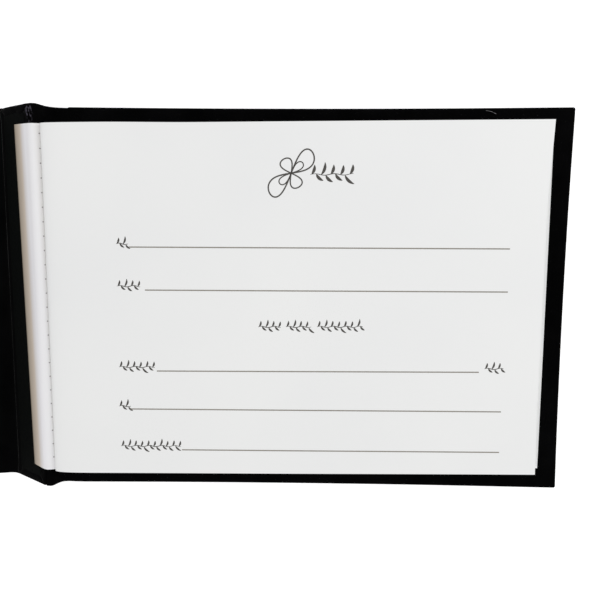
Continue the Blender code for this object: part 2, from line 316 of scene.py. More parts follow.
def needle_holes(nodes, links, x, y):
    """0 inside the needle holes and 1 outside, from the object's X and Y."""
    phase = 0.5 - stitch_ys()[0] / STITCH_PITCH + 50   # the 50 whole turns keep it above zero
    turns = operate(nodes, links, "MULTIPLY_ADD", y, 1 / STITCH_PITCH, phase)
    turn = operate(nodes, links, "FRACT", turns)
    place = nodes.new("ShaderNodeCombineXYZ")
    along = operate(nodes, links, "MULTIPLY_ADD", turn, STITCH_PITCH, -STITCH_PITCH / 2)
    links.new(along, place.inputs["X"])
    links.new(operate(nodes, links, "SUBTRACT", x, STITCH - 0.15 * MM), place.inputs["Y"])
    away = operate(nodes, links, "LENGTH", place.outputs["Vector"], vectors=True)
    return map_range(nodes, links, away, 0.2 * MM, 0.38 * MM)


def speckled_material(name, light, dark, scale, roughness, bump):
    """A dull material with fine mottling: board, foam, linen or thread."""
    made, nodes, links, shader = new_material(name, light, roughness, 0.2)
    grain = noise_texture(nodes, links, scale, 4)
    shades = ramp(nodes, links, grain.outputs["Fac"], (0.3, dark), (0.7, light))
    links.new(shades.outputs["Color"], shader.inputs["Base Color"])
    add_bump(nodes, links, shader, grain.outputs["Fac"], bump)
    return made


CLOTH = cloth_material()
CREASED_CLOTH = crinkled_cloth_material()
LINING = lining_material()
WHITE_PAPER = paper_material()
GUARD_PAPER = guard_material()
BOARD = speckled_material("grey_board", (0.34, 0.32, 0.29), (0.22, 0.21, 0.19), 700, 0.9, 0.1 * MM)
FOAM = speckled_material("white_foam", (0.8, 0.79, 0.76), (0.66, 0.65, 0.62), 1500, 0.95, 0.15 * MM)
LINEN = speckled_material("open_linen", (0.72, 0.68, 0.58), (0.45, 0.42, 0.36), 2200, 0.95, 0.2 * MM)
THREAD = speckled_material("white_thread", (0.84, 0.84, 0.82), (0.68, 0.68, 0.66), 3000, 0.8, 0.1 * MM)
INK = speckled_material("grey_ink", (0.085, 0.08, 0.074), (0.062, 0.058, 0.053), 2500, 0.7, 0.01 * MM)
RULE_INK = speckled_material("rule_ink", (0.29, 0.27, 0.24), (0.23, 0.215, 0.19), 2500, 0.7, 0.01 * MM)
LINT = speckled_material("pale_lint", (0.22, 0.21, 0.215), (0.07, 0.07, 0.07), 1200, 0.9, 0.01 * MM)


# ---------------- mesh helpers
def make_piece(name, points, faces, material, smooth_angle=40):
    """A mesh object whose faces are turned outwards."""
    mesh = bpy.data.meshes.new(name)
    mesh.from_pydata([tuple(p) for p in points], [], faces)
    work = bmesh.new()
    work.from_mesh(mesh)
    bmesh.ops.recalc_face_normals(work, faces=work.faces)
    work.to_mesh(mesh)
    work.free()
    mesh.materials.append(material)
    mesh.shade_smooth()
    mesh.set_sharp_from_angle(angle=math.radians(smooth_angle))
    made = bpy.data.objects.new(name, mesh)
    bpy.context.scene.collection.objects.link(made)
    return made


def finish_piece(piece, slot, *replaced):
    """Hides the CAD nodes that the piece stands for. The slot is not used."""
    if replaced:
        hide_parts(*replaced)
    return piece


def slab_faces(rows, columns, first=0):
    """Faces of a closed slab: a grid of top points, then the same grid of bottom points."""

    def at(side, i, j):
        return first + (side * rows + i) * columns + j

    faces = []
    for i in range(rows - 1):
        for j in range(columns - 1):
            faces.append((at(0, i, j), at(0, i + 1, j), at(0, i + 1, j + 1), at(0, i, j + 1)))
            faces.append((at(1, i, j), at(1, i, j + 1), at(1, i + 1, j + 1), at(1, i + 1, j)))
    for i in range(rows - 1):
        faces.append((at(0, i, 0), at(1, i, 0), at(1, i + 1, 0), at(0, i + 1, 0)))
        end = columns - 1
        faces.append((at(0, i, end), at(0, i + 1, end), at(1, i + 1, end), at(1, i, end)))
    for j in range(columns - 1):
        faces.append((at(0, 0, j), at(0, 0, j + 1), at(1, 0, j + 1), at(1, 0, j)))
        end = rows - 1
        faces.append((at(0, end, j), at(1, end, j), at(1, end, j + 1), at(0, end, j + 1)))
    return faces


def normals_of(grid):
    """Unit normals of a grid of points, from its neighbours along both directions."""
    normals = np.cross(np.gradient(grid, axis=0), np.gradient(grid, axis=1))
    return normals / np.linalg.norm(normals, axis=2, keepdims=True)


def smooth_curve(points, per_span=8):
    """Points on a Catmull-Rom curve through the given ones."""
    p = [points[0] * 2 - points[1], *points, points[-1] * 2 - points[-2]]
    curve = []
    for a, b, c, d in zip(p, p[1:], p[2:], p[3:]):
        for n in range(per_span):
            t = n / per_span
            square, cube = a * 2 - b * 5 + c * 4 - d, b * 3 - a - c * 3 + d
            curve.append((b * 2 + (c - a) * t + square * t**2 + cube * t**3) / 2)
    return [*curve, points[-1].copy()]


def smoothstep(t):
    """0 up to t = 0, 1 from t = 1, and a smooth S between them."""
    t = min(1.0, max(0.0, t))
    return t * t * (3 - 2 * t)


# ---------------- padded cloth panels
RIM_STATIONS = [0.0, 0.4 * MM, 1.0 * MM, 2.0 * MM, 4.0 * MM, 8.0 * MM, 14.0 * MM]
CORNER_STEPS = 6
SIDE_STEPS = 14
MITRED_RINGS = 8                        # the first rings, where a corner's folded seam shows
INNER_RINGS = 9                         # the rings on the inner face and over its edge


def side_stations(length):
    """Distances along a straight side, close together near its ends."""
    scale = min(1, length / (4 * RIM_STATIONS[-1]))
    ends = [s * scale for s in RIM_STATIONS]
    inner = [ends[-1] + (length - 2 * ends[-1]) * n / SIDE_STEPS for n in range(1, SIDE_STEPS)]
    return ends + inner + [length - s for s in reversed(ends)]


def ring(half_x, half_y, radius):
    """Points round a rounded rectangle, anticlockwise from the lower end of its +X side."""
    radius = min(radius, half_x * 0.9, half_y * 0.9)
    corners = [(1, -1), (1, 1), (-1, 1), (-1, -1)]
    points = []
    for n, (sx, sy) in enumerate(corners):
        nx, ny = corners[(n + 1) % 4]
        centre = Vector((sx * (half_x - radius), sy * (half_y - radius)))
        following = Vector((nx * (half_x - radius), ny * (half_y - radius)))
        out = math.radians(90 * n)
        length = (following - centre).length
        way = (following - centre) / length
        push = Vector((math.cos(out), math.sin(out))) * radius
        points += [centre + push + way * s for s in side_stations(length)]
        points += [
            following + Vector((math.cos(out + a), math.sin(out + a))) * radius
            for a in (math.pi / 2 * k / CORNER_STEPS for k in range(1, CORNER_STEPS))
        ]
    return points


def rim_profile(thickness, board_edge, padded_edge, turn_in, crown):
    """(distance in from the rim, height) of a wrapped panel, from its inner face round to the outer."""
    top = [(turn_in, thickness - 0.25 * MM), (turn_in - 0.3 * MM, thickness - 0.05 * MM)]
    top += [(turn_in * share, thickness) for share in (0.93, 0.75, 0.5, 0.3)]
    middle = min(thickness * 0.6, thickness - board_edge)
    arc_top = [
        (board_edge * (1 - math.cos(a)), thickness - board_edge * (1 - math.sin(a)))
        for a in (math.pi / 2 * (1 - k / 6) for k in range(7))
    ]
    arc_low = [
        (padded_edge * (1 - math.cos(a)), middle * (1 - math.sin(a)))
        for a in (math.pi / 2 * k / 8 for k in range(9))
    ]
    reach = (1.3, 1.8, 2.6, 4.0, 6.5)
    low = [(padded_edge * r, 0.0) for r in reach]
    lifted = [(d, z + crown * math.exp(-d / (padded_edge * 1.8))) for d, z in arc_low[4:] + low]
    blend = lifted[0][1] - arc_low[4][1]
    sides = [(d, z + blend * k / 4) for k, (d, z) in enumerate(arc_low[:4])]
    return top + arc_top + sides + lifted


def pulled_in(p, half_x, half_y, pull):
    """A point of the panel's outline, drawn in where the cloth is tight between the corners."""
    side, end = pull
    x = p.x * (1 - side / half_x * (1 - min(1, abs(p.y) / half_y) ** 2))
    y = p.y * (1 - end / half_y * (1 - min(1, abs(p.x) / half_x) ** 2))
    return Vector((x, y))


def panel_points(half_x, half_y, profile, corner, mitre=0.25 * MM, lumps=0.12 * MM, seed=0.0, pull=(0, 0)):
    """Rings of a cloth panel's outer surface, in its own frame: outer face at 0, inner face up."""
    rings = []
    for k, (inset, height) in enumerate(profile):
        outline = ring(half_x - inset, half_y - inset, max(corner - inset * 0.6, 0.25 * MM))
        points = []
        for p in outline:
            diagonal = abs((half_x - abs(p.x)) - (half_y - abs(p.y)))
            folded = math.exp(-((diagonal / (0.5 * MM)) ** 2)) if k < MITRED_RINGS else 0.0
            lump = noise.noise(Vector((p.x * 28 + seed, p.y * 28, height * 60)))
            soft = lumps * (lump + 0.4) * (1 if height > 0.2 * MM else 0)
            swell = -abs(soft) * 0.175 if k < INNER_RINGS else soft
            z = height - mitre * folded + swell
            p = pulled_in(p, half_x, half_y, pull)
            points.append((p.x, p.y, max(0.0, z)))
        rings.append(points)
    return rings


def ring_faces(count, size):
    """Quads between successive closed rings of points."""
    return [
        (k * size + i, k * size + (i + 1) % size, (k + 1) * size + (i + 1) % size, (k + 1) * size + i)
        for k in range(count - 1)
        for i in range(size)
    ]


def shell_panel(name, half_x, half_y, profile, corner, thickness, material, to_world, seed=0.0, pull=(0, 0)):
    """A wrapped cloth: an open-topped tray with turned-in edges and a real thickness."""
    rings = panel_points(half_x, half_y, profile, corner, seed=seed, pull=pull)
    size = len(rings[0])
    points = [p for r in rings for p in r]
    faces = ring_faces(len(rings), size)
    last = (len(rings) - 1) * size
    faces.append(tuple(range(last, last + size)))
    piece = make_piece(name, points, faces, material, 60)
    solid = piece.modifiers.new("cloth", "SOLIDIFY")
    solid.thickness = thickness
    solid.offset = -1
    apply_modifiers(piece)
    place_points(piece, to_world)
    return piece


def apply_modifiers(piece):
    """Replaces a piece's mesh with the evaluated one."""
    graph = bpy.context.evaluated_depsgraph_get()
    mesh = bpy.data.meshes.new_from_object(piece.evaluated_get(graph))
    piece.modifiers.clear()
    piece.data = mesh


def place_points(piece, to_world):
    """Moves a piece's points from its own frame to their places."""
    for vertex in piece.data.vertices:
        vertex.co = to_world(vertex.co)
    piece.data.update()


def solid_panel(name, half_x, half_y, profile, corner, material, to_world, pull=(0, 0)):
    """A closed filling, such as padding: rings capped at both ends."""
    rings = panel_points(half_x, half_y, profile, corner, mitre=0, lumps=0.05 * MM, pull=pull)
    size = len(rings[0])
    points = [p for r in rings for p in r]
    faces = ring_faces(len(rings), size)
    last = (len(rings) - 1) * size
    faces += [tuple(range(last, last + size)), tuple(reversed(range(size)))]
    piece = make_piece(name, points, faces, material, 60)
    place_points(piece, to_world)
    return piece


def make_cover(side, low, high):
    """One cover: cloth, padding, board and lining."""
    middle = Vector(((low.x + high.x) / 2, 0, low.z))
    half_x, half_y = (high.x - low.x) / 2, (high.y - low.y) / 2
    thickness = high.z - low.z
    body = "root" if side == "back" else "front_cover"

    def to_world(p):
        return middle + p

    profile = rim_profile(thickness, BOARD_EDGE, PADDED_EDGE, TURN_IN, CROWN)
    pull = (PULL_SIDE, PULL_END)
    cloth = shell_panel(
        f"{side}_cover_velvet", half_x, half_y, profile, CORNER, COVER_CLOTH, CLOTH, to_world, len(side), pull
    )
    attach(cloth, body)
    finish_piece(cloth, "black_cloth", f"{side}_cover_cloth")

    pad_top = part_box(f"{side}_cover_padding")[1].z
    height = pad_top - COVER_CLOTH - low.z - 0.1 * MM
    inner = rim_profile(height, 0.6 * MM, PADDED_EDGE * 0.8, 5 * MM, CROWN)
    inner = [(d, z) for d, z in inner if d > 0 or z > 0]

    def to_padding(p):
        return middle + p + Vector((0, 0, COVER_CLOTH + 0.1 * MM))

    gap = COVER_CLOTH + 0.2 * MM
    padding = solid_panel(
        f"{side}_cover_foam", half_x - gap, half_y - gap, inner, CORNER, FOAM, to_padding, pull
    )
    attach(padding, body)
    finish_piece(padding, "white_foam", f"{side}_cover_padding")

    board_low, board_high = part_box(f"{side}_cover_board")
    stiff = board_high.z - board_low.z
    edge = [(4 * MM, stiff), (0.15 * MM, stiff), (0.0, stiff - 0.15 * MM), (0.0, 0.15 * MM), (0.15 * MM, 0.0)]

    def to_board(p):
        return Vector((middle.x, 0, board_low.z)) + p

    board = solid_panel(
        f"{side}_cover_millboard",
        (board_high.x - board_low.x) / 2 - 0.1 * MM,
        (board_high.y - board_low.y) / 2 - 0.1 * MM,
        [*edge, (4 * MM, 0.0)],
        1.2 * MM,
        BOARD,
        to_board,
        pull,
    )
    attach(board, body)
    finish_piece(board, "grey_board", f"{side}_cover_board")
    make_lining(f"{side}_cover_lining_sheet", f"{side}_cover_lining", body)


def make_lining(name, node, body):
    """The lining sheet, with softened edges and a very slight swell."""
    low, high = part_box(node)
    half_x, half_y = (high.x - low.x) / 2, (high.y - low.y) / 2
    middle = Vector(((low.x + high.x) / 2, (low.y + high.y) / 2, low.z))
    thickness = high.z - low.z
    profile = [(6 * MM, thickness), (2 * MM, thickness - 0.02 * MM), (0.5 * MM, thickness - 0.05 * MM)]
    profile += [(0.1 * MM, thickness - 0.15 * MM), (0.0, thickness * 0.5), (0.1 * MM, 0.03 * MM)]
    profile += [(0.6 * MM, 0.0)]

    def to_world(p):
        return middle + p

    piece = solid_panel(name, half_x, half_y, profile, 0.8 * MM, LINING, to_world)
    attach(piece, body)
    finish_piece(piece, "black_lining", node)


# ---------------- spine strip and joints
def spine_stretch(share):
    """How much longer or shorter than its mean the spine strip is, at a share of the way to the ridge."""
    return 1 + SPINE_TAPER * (share - 0.6)


def spine_point(up, y, inward):
    """A point of the spine strip: distance up it from the foot, and out of its inner face."""
    y *= spine_stretch(up / (RIDGE - FOOT).length)
    return FOOT + SPINE_UP * up + SPINE_IN * inward + Vector((0, y + SPINE_SHIFT, 0))


def make_spine():
    """The leaning spine strip: velvet crumpled at its head, board and lining."""
    width = (RIDGE - FOOT).length
    half_y = SPINE_HALF

    def to_world(p):
        from_end = half_y - abs(p.y)
        puff = 0.45 * MM * math.exp(-((from_end - 2.4 * MM) / (2.2 * MM)) ** 2)
        head = math.exp(-((half_y - p.y) / (7 * MM)) ** 2)
        crumple = head * 0.55 * MM * noise.noise(Vector((p.x * 420, p.y * 170, 3)))
        inner = smoothstep(p.z / SPINE_THICKNESS)
        return spine_point(p.x + width / 2, p.y, p.z - SPINE_THICKNESS + (puff + crumple) * inner)

    profile = rim_profile(SPINE_THICKNESS, 1.1 * MM, 1.3 * MM, 4.2 * MM, 0.0)
    cloth = shell_panel(
        "spine_velvet", width / 2, half_y, profile, 1.6 * MM, 0.4 * MM, CREASED_CLOTH, to_world, 5.0
    )
    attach(cloth, "spine")
    finish_piece(cloth, "black_cloth", "spine_cloth")

    def board_world(p):
        return spine_point(p.x + width / 2, p.y, p.z - SPINE_THICKNESS + 0.75 * MM)

    flat = [(2 * MM, 1.4 * MM), (0.2 * MM, 1.4 * MM), (0.0, 1.2 * MM), (0.0, 0.2 * MM), (0.2 * MM, 0.0)]
    board = solid_panel(
        "spine_strip_board",
        width / 2 - 1.1 * MM,
        half_y - 1.1 * MM,
        [*flat, (2 * MM, 0.0)],
        0.6 * MM,
        BOARD,
        board_world,
    )
    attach(board, "spine")
    finish_piece(board, "grey_board", "spine_board")

    def lining_world(p):
        return spine_point(p.x + width / 2, p.y, p.z + 0.01 * MM)

    thin = [(1.5 * MM, 0.24 * MM), (0.3 * MM, 0.22 * MM), (0.05 * MM, 0.15 * MM), (0.0, 0.05 * MM)]
    lining = solid_panel(
        "spine_lining_sheet",
        width / 2 - 3.2 * MM,
        half_y - 3.4 * MM,
        [*thin, (0.3 * MM, 0.0), (1.5 * MM, 0.0)],
        0.5 * MM,
        LINING,
        lining_world,
    )
    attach(lining, "spine")
    finish_piece(lining, "black_lining", "spine_lining")


def end_stations(low, high, edge):
    """Stations along Y with a half-round end of radius edge: (y, share of thickness)."""
    bend = [(edge * (1 - math.cos(a)), math.sin(a)) for a in (math.pi / 2 * k / 5 for k in range(1, 6))]
    near = [(0.0, 0.12), *bend, (2 * edge, 1.0), (4 * edge, 1.0)]
    inner = [(low + (high - low) * n / 24, 1.0) for n in range(1, 24)]
    return [(low + d, s) for d, s in near] + inner + [(high - d, s) for d, s in reversed(near)]


def ribbon(name, middle_path, end_path, reach, tail_share, thickness, material):
    """A strip of cloth along Y, between reach(share of its width).

    Its path changes to end_path near the head, and by tail_share of that near the tail.
    """
    middle, ends = smooth_curve(middle_path), smooth_curve(end_path)
    stations = end_stations(0, 2 * SPINE_HALF, thickness / 2)
    grid = np.zeros((len(middle), len(stations), 3))
    swell = np.zeros((len(middle), len(stations)))
    for j, (along, share) in enumerate(stations):
        from_end = min(along, 2 * SPINE_HALF - along)
        w = 1 - smoothstep((from_end - 3 * MM) / (9 * MM))
        if along < SPINE_HALF:
            w *= tail_share
        for i, (a, b) in enumerate(zip(middle, ends)):
            p = a.lerp(b, w)
            low, high = reach(i / (len(middle) - 1))
            grid[i, j] = (p.x, low + (high - low) * along / (2 * SPINE_HALF), p.z)
            swell[i, j] = share
    normals = normals_of(grid)
    half = thickness / 2 * swell[..., None]
    points = np.concatenate([(grid + normals * half).reshape(-1, 3), (grid - normals * half).reshape(-1, 3)])
    return make_piece(name, points, slab_faces(len(middle), len(stations)), material, 50)


def millimetres(*pairs):
    """Points in the XZ plane from pairs in millimetres."""
    return [Vector((x, 0, z)) * MM for x, z in pairs]


def joint_reach(share, strip_edge):
    """Tail and head ends of a joint: at a cover (share 0) and at an edge of the spine strip (share 1)."""
    t = smoothstep(share)
    half = SPINE_HALF * spine_stretch(strip_edge)
    strip_low, strip_high = SPINE_SHIFT - half, SPINE_SHIFT + half
    cover_low, cover_high = COVER_LOW.y + 0.1 * MM, COVER_HIGH.y - 0.35 * MM
    return cover_low + (strip_low - cover_low) * t, cover_high + (strip_high - cover_high) * t


def make_joints():
    """The two cloth joints, curved between their neighbours."""
    thickness = 1.1 * MM
    middle = millimetres(
        (24.9, 6.9), (22, 7.1), (19, 7.3), (16.2, 8.0), (14.1, 10.2), (12.9, 12.4), (10.8, 13.9)
    )
    ends = millimetres(
        (24.9, 6.9), (21, 7.0), (17.8, 7.2), (15.4, 8.7), (14.1, 11.6), (13.0, 14.6), (10.7, 14.8)
    )

    def back_reach(share):
        return joint_reach(share, 0.8)

    def front_reach(share):
        return joint_reach(share * 1.4, 0.1)

    back = ribbon("back_joint_velvet", middle, ends, back_reach, 0.9, thickness, CREASED_CLOTH)
    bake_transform(back)
    finish_piece(back, "black_cloth", "back_joint_cloth")
    path = millimetres(
        (-24.6, 5.2), (-22.6, 2.0), (-20, 0.65), (-15, 0.6), (-10.5, 0.75), (-8.2, 1.4), (-6.6, 2.4)
    )
    front = ribbon("front_joint_velvet", path, path, front_reach, 1, thickness, CLOTH)
    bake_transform(front)
    finish_piece(front, "black_cloth", "front_joint_cloth")


# ---------------- the sewn block
SAG, SAG_REACH = 0.24, 4.0 * MM          # the block sinks slowly towards the gutter
NIP, NIP_REACH = 0.25, 0.45 * MM         # and is pinched at the stitches


def squeeze(distance):
    """Share of its full height that the block keeps at a distance from its crease."""
    d = max(0.0, distance)
    return 1 - SAG * math.exp(-d / SAG_REACH) - NIP * math.exp(-d / NIP_REACH)


def crease_of(height):
    """X of the crease of a leaf that lies at a height in the flat block."""
    return CREASE + (PAGE_TOP - height) * SLANT


def page_wave(x, y):
    """Slow unevenness of the pages, none at the gutter."""
    out = smoothstep((x - CREASE) / (60 * MM))
    slow = noise.noise(Vector((x * 9, y * 11, 1.7)))
    return 0.28 * MM * slow * out


def trimmed(x, y, end, depth):
    """Where a point of a leaf's plain rectangle lies: askew, and cut a little unevenly."""
    head = smoothstep(0.5 + (y - PAGE_MIDDLE) / (150 * MM))
    near_gutter = 1 - smoothstep((x - 40 * MM) / (42 * MM))
    near_edge = smoothstep(1 - (end - x) / (60 * MM))
    at_head = smoothstep((y - 36 * MM) / (52 * MM)) * (2.0 - 0.9 * depth) * MM
    at_tail = smoothstep((-y - 45 * MM) / (40 * MM)) * 0.5 * (1 - depth) * MM
    return x + (at_head + at_tail) * near_edge, y + askew(x) + 0.45 * MM * near_gutter * head


def leaf_top(height, x, y):
    """Height of a leaf's upper face, for a leaf that lies at that height in the flat block."""
    share = (height - BLOCK_FLOOR) / (PAGE_TOP - BLOCK_FLOOR)
    kept = squeeze(x - crease_of(height))
    return BLOCK_FLOOR + (height - BLOCK_FLOOR) * kept + page_wave(x, y) * share


GUTTER_STEPS = [0, 0.12, 0.25, 0.4, 0.6, 0.85, 1.2, 1.7, 2.4, 3.3, 4.5, 6, 8, 10.5, 14, 18, 24]


def leaf_stations(height, length, left, fine):
    """X of a leaf's points, from its left end to its fore edge."""
    crease = crease_of(height)
    near = [crease + d * MM for d in GUTTER_STEPS]
    margin = [crease - left * share for share in (1, 0.6, 0.25)] if left else []
    start = near[-1]
    count = 40 if fine else 14
    return margin + near + [start + (length - start) * (n / count) for n in range(1, count + 1)]


def leaf_grid(height, left=0.0, fine=False, thickness=PAPER, jitter=0.0):
    """Top points then bottom points of one leaf, and the grid's size."""
    depth = (PAGE_TOP - height) / (PAGE_TOP - BLOCK_FLOOR)
    end = FORE_EDGE + FORE_REACH * depth**1.4 + jitter
    xs = leaf_stations(height, end, left, fine)
    rows = 28 if fine else 10
    skew = jitter * 0.5
    ys = [PAGE_LOW.y + skew + (PAGE_HIGH.y - PAGE_LOW.y) * n / rows for n in range(rows + 1)]
    top, bottom = [], []
    for x in xs:
        kept = squeeze(x - crease_of(height))
        for y in ys:
            z = leaf_top(height, x, y)
            px, py = trimmed(x, y, end, depth)
            top.append((px, py, z))
            bottom.append((px, py, z - thickness * min(1, kept * 1.05)))
    return top + bottom, len(xs), len(ys)


def make_stack(name, heights, node):
    """Several leaves lying on each other, as one piece."""
    points, faces = [], []
    for height in heights:
        jitter = random.uniform(-0.18, 0.18) * MM
        leaf, rows, columns = leaf_grid(height, left=MARGIN, jitter=jitter)
        faces += slab_faces(rows, columns, len(points))
        points += leaf
    piece = make_piece(name, points, faces, WHITE_PAPER)
    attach(piece, "root")
    return finish_piece(piece, "white_paper", node)


def make_packs():
    """The leaves that stay down, one piece for each of the frame's packs."""
    top = PACKS_TOP + 0.25 * MM
    total = PACK_COUNT * LEAVES_A_PACK
    pitch = (top - BLOCK_FLOOR) / total
    for n in range(PACK_COUNT):
        node = f"leaf_pack_{n + 1:02d}"
        heights = [BLOCK_FLOOR + (n * LEAVES_A_PACK + k + 1) * pitch for k in range(LEAVES_A_PACK)]
        make_stack(f"leaves_{n + 1:02d}", heights, node)


def make_turning_leaves():
    """The four leaves that turn, each with its sewn strip."""
    for name in ("leaf_04", "leaf_03", "leaf_02", "title_leaf"):
        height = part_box(name)[1].z
        fine = name == "title_leaf"
        points, rows, columns = leaf_grid(height, fine=fine, thickness=TURNING_PAPER)
        piece = make_piece(f"{name}_sheet", points, slab_faces(rows, columns), WHITE_PAPER)
        crease = crease_of(height)
        middle = leaf_top(height, crease + 4 * MM, 0)
        start, end = (crease + TURN_START, 0, middle), (crease + TURN_END, 0, middle)
        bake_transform(piece)
        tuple(start)
        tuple(end)
        finish_piece(piece, "white_paper", name)
        make_margin(name, height)


def make_margin(name, height):
    """The sewn strip of a turning leaf, left of its crease."""
    crease = crease_of(height)
    xs = [crease - 0.06 * MM - MARGIN * share for share in (1, 0.66, 0.33, 0)]
    z = BLOCK_FLOOR + (height - BLOCK_FLOOR) * squeeze(0)
    ys = [PAGE_LOW.y + askew(CREASE) + (PAGE_HIGH.y - PAGE_LOW.y) * n / 30 for n in range(31)]
    top = [(x, y, z) for x in xs for y in ys]
    bottom = [(x, y, z - 0.09 * MM) for x in xs for y in ys]
    piece = make_piece(f"{name}_sewn_strip", top + bottom, slab_faces(len(xs), len(ys)), WHITE_PAPER)
    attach(piece, "root")
    finish_piece(piece, "white_paper", f"{name}_margin")


def guard_edge(y):
    """X of the strip's pasted edge, which runs a little out of true."""
    return GUARD_EDGE - GUARD_LEAN * y


def guard_path(y):
    """Middle of the guard strip, from the stitches over the ridge to its pasted edge."""
    crest = millimetres(
        (14.9, 14.5), (14.5, 14.56), (14.0, 14.8), (13.0, 15.35), (11.6, 15.75), (10.2, 15.45)
    )
    edge = guard_edge(y)
    down = [(RIDGE.x - 1.4 * MM) * (1 - t) + edge * t for t in (0, 0.33, 0.67, 1)]
    slope = SPINE_UP.z / SPINE_UP.x
    lift = 0.43 * MM / SPINE_UP.x
    return smooth_curve(crest + [Vector((x, 0, FOOT.z + (x - FOOT.x) * slope + lift)) for x in down], 6)


def make_guard():
    """White paper strip sewn in with the leaves and pasted down on the spine's lining."""
    low, high = PAGE_LOW.y + askew(CREASE), PAGE_HIGH.y + askew(CREASE)
    holes = stitch_ys()
    ys = [low, high]
    for y in holes:
        ys += [y + d * MM for d in (-2, -0.9, -0.5, -0.25, 0, 0.25, 0.5, 0.9, 2)]
    ys = sorted(y for y in ys if low <= y <= high)
    rows = len(guard_path(0))
    grid = np.zeros((rows, len(ys), 3))
    for j, y in enumerate(ys):
        nearest = min(abs(y - h) for h in holes)
        up = (y - low) / (high - low)
        for i, p in enumerate(guard_path(y)):
            away = math.hypot(nearest, (p.x - STITCH) * 1.2)
            dimple = 0.32 * MM * math.exp(-((away / (0.4 * MM)) ** 2))
            slack = 0.2 * MM * noise.noise(Vector((p.x * 60, y * 45, 9)))
            taut = smoothstep((STITCH - p.x) / (2 * MM)) * smoothstep((p.x - guard_edge(y)) / (2 * MM))
            cut_at_tail = 1.2 * MM * max(0, (STITCH - p.x) / (10 * MM)) ** 1.5 * (1 - up) ** 12
            cut_at_head = 0.5 * MM * up**12
            grid[i, j] = (p.x, y + cut_at_tail + cut_at_head, p.z - dimple + slack * taut)
    normals = -normals_of(grid)
    half = GUARD_THICKNESS / 2
    points = np.concatenate([(grid + normals * half).reshape(-1, 3), (grid - normals * half).reshape(-1, 3)])
    piece = make_piece("guard_strip", points, slab_faces(rows, len(ys)), GUARD_PAPER)
    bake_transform(piece)
    finish_piece(piece, "white_paper", "front_guard")


def tube(name, path, radius, sides, material, across=Vector((1, 0, 0))):
    """A round tube with closed ends along a list of points, which run square to across."""
    points, faces = [], []
    for n, p in enumerate(path):
        ahead = path[min(n + 1, len(path) - 1)] - path[max(n - 1, 0)]
        up = ahead.cross(across).normalized()
        for k in range(sides):
            a = 2 * math.pi * k / sides
            points.append(p + across * math.cos(a) * radius + up * math.sin(a) * radius)
    for n in range(len(path) - 1):
        for k in range(sides):
            a, b = n * sides + k, n * sides + (k + 1) % sides
            faces.append((a, b, b + sides, a + sides))
    faces += [tuple(range(sides)), tuple(reversed(range(len(points) - sides, len(points))))]
    return make_piece(name, points, faces, material)


def stitch_path(x, z, dip):
    """A thread that lies along Y and dips into each needle hole."""
    path = []
    holes = stitch_ys()
    for a, b in zip(holes, holes[1:]):
        for n in range(10):
            t = n / 10
            lie = min(1.0, math.sin(math.pi * t) * 2.6)
            path.append(Vector((x + 0.05 * MM * math.sin(7 * (a + t)), a + (b - a) * t, z - dip * (1 - lie))))
    path.append(Vector((x, holes[-1], z - dip)))
    return path


def make_threads():
    """The needle thread along the gutter and the bobbin thread under the block."""
    needle = tube("needle_stitches", stitch_path(STITCH, 14.7 * MM, 0.45 * MM), 0.14 * MM, 8, THREAD)
    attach(needle, "root")
    finish_piece(needle, "white_thread", "needle_thread")
    x = (BOBBIN_LOW.x + BOBBIN_HIGH.x) / 2
    z = (BOBBIN_LOW.z + BOBBIN_HIGH.z) / 2
    bobbin = tube("bobbin_stitches", stitch_path(x, z, -0.12 * MM), 0.1 * MM, 8, THREAD)
    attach(bobbin, "root")
    finish_piece(bobbin, "white_thread", "bobbin_thread")


def make_binding():
    """The open linen up the binding edge, and the sheet that pastes the block down."""
    low = BLOCK_FLOOR
    high = BLOCK_FLOOR + (PAGE_TOP - BLOCK_FLOOR) * squeeze(0)
    left_low, left_high = crease_of(BLOCK_FLOOR) - MARGIN, crease_of(PAGE_TOP) - MARGIN
    ys = [PAGE_LOW.y + askew(CREASE) + (PAGE_HIGH.y - PAGE_LOW.y) * n / 40 for n in range(41)]
    rows = 8
    top, bottom = [], []
    for i in range(rows):
        t = i / (rows - 1)
        x = left_low + (left_high - left_low) * t - 0.45 * MM
        z = low + (high - low) * t - 0.1 * MM
        for y in ys:
            weave = 0.04 * MM * noise.noise(Vector((t * 9, y * 900, 0)))
            top.append((x - 0.12 * MM + weave, y, z))
            bottom.append((x + 0.12 * MM + weave, y, z))
    mull = make_piece("linen_mull", top + bottom, slab_faces(rows, len(ys)), LINEN)
    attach(mull, "root")
    finish_piece(mull, "binding_linen", "binding_mull")
    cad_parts["back_endpaper"].data.materials.clear()
    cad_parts["back_endpaper"].data.materials.append(WHITE_PAPER)


def make_lint():
    """A hair of pale lint caught in the nap, on the head margin of the back cover."""
    height = COVER_FACE / MM + 0.04
    bends = [Vector((x, y, height)) * MM for x, y in ((204, 83.25), (206.3, 82.75), (208.4, 81.9))]
    hair = tube("lint_hair", smooth_curve(bends), 0.11 * MM, 6, LINT, Vector((0, 1, 0)))
    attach(hair, "root")


# ---------------- print on the title leaf
def on_page(x, y):
    """A place just over the title leaf, from its place on the plain page."""
    return Vector((x, y + askew(x), leaf_top(PAGE_TOP, x, y) + INK_LIFT))


